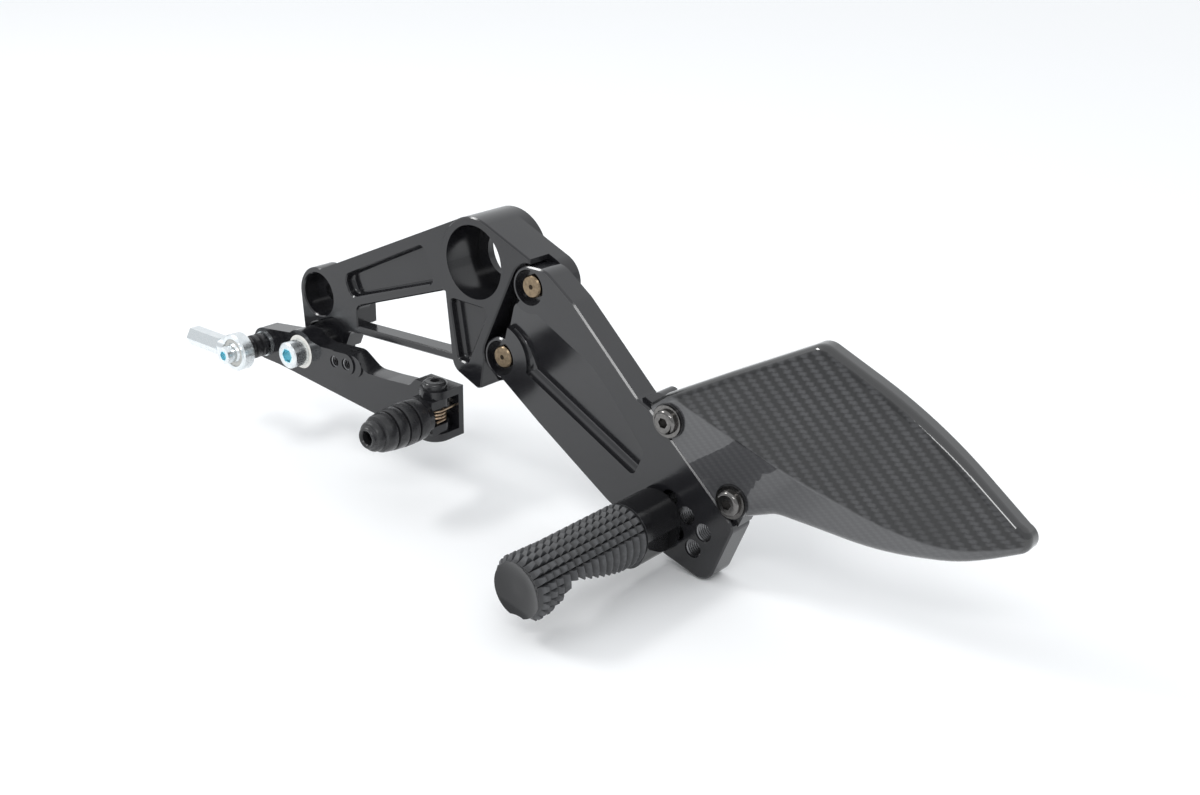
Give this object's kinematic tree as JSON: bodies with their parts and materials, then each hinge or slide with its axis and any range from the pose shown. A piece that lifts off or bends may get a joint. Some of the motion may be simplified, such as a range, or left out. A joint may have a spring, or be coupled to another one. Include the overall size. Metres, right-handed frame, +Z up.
{
  "type": "motorcycle rear-set footrest",
  "caption": "Gear-side rear-set footrest: pocketed hanger and peg plate with a knurled foot peg, carbon heel guard and a pivoting shift lever with rod end and folding toe peg.",
  "frame": {"origin": "on the axis of the main frame bore, at the hanger's outboard face", "axes": "+X to the rear of the motorcycle, +Y inboard along the frame bores, +Z up"},
  "size_m": [0.4312, 0.1141, 0.1281],
  "materials": {
    "black_anodised": "satin black anodised, machined",
    "knurl_grey": "matt dark grey anodised",
    "zinc_steel": "bright zinc plated",
    "gold_steel": "warm plated screw tips",
    "dark_screw": "dark bronze plated",
    "black_steel": "black oxide",
    "bush_cream": "moulded bearing plastic",
    "liner_white": "bearing liner",
    "carbon": "clear coated twill weave",
    "rubber": "matt black rubber",
    "spring_bronze": "drawn spring wire"
  },
  "bodies": {
    "hanger": {"hanger_bracket": "black_anodised", "peg_plate": "black_anodised", "plate_screws": "gold_steel", "foot_peg": "knurl_grey", "foot_peg_stud": "zinc_steel", "heel_guard": "carbon", "heel_guard_washers": "black_steel", "heel_guard_screws": "dark_screw", "lever_pivot_bolt": "zinc_steel", "lever_pivot_spacer": "black_steel"},
    "lever": {"shift_lever": "black_anodised", "lever_pivot_bushes": "bush_cream", "rod_end_bolt": "zinc_steel", "rod_end_washer": "zinc_steel", "rod_end_spacer": "black_steel", "rod_end_ball": "zinc_steel", "toe_peg_screw": "black_steel", "toe_peg_spring": "spring_bronze"},
    "rod_end": {"rod_end_body": "zinc_steel", "rod_end_liner": "liner_white"},
    "toe_peg": {"toe_peg_pin": "black_anodised", "toe_peg_rubber": "rubber"}
  },
  "joints": [
    {"name": "lever_turn", "type": "hinge", "parent": "hanger", "child": "lever", "pos_m": [-0.1075, -0.006, -0.0646], "axis": [0, 1, 0], "range_deg": [-12, 12]},
    {"name": "toe_peg_fold", "type": "hinge", "parent": "lever", "child": "toe_peg", "pos_m": [-0.0136, -0.0116, -0.0698], "axis": [0, 0, 1], "range_deg": [0, 85], "stiffness_Nm_per_rad": 0.2, "springref_deg": -34.38},
    {"name": "rod_end_swivel", "type": "hinge", "parent": "lever", "child": "rod_end", "pos_m": [-0.135, -0.027, -0.067], "axis": [0, 1, 0], "range_deg": [-30, 30]}
  ]
}
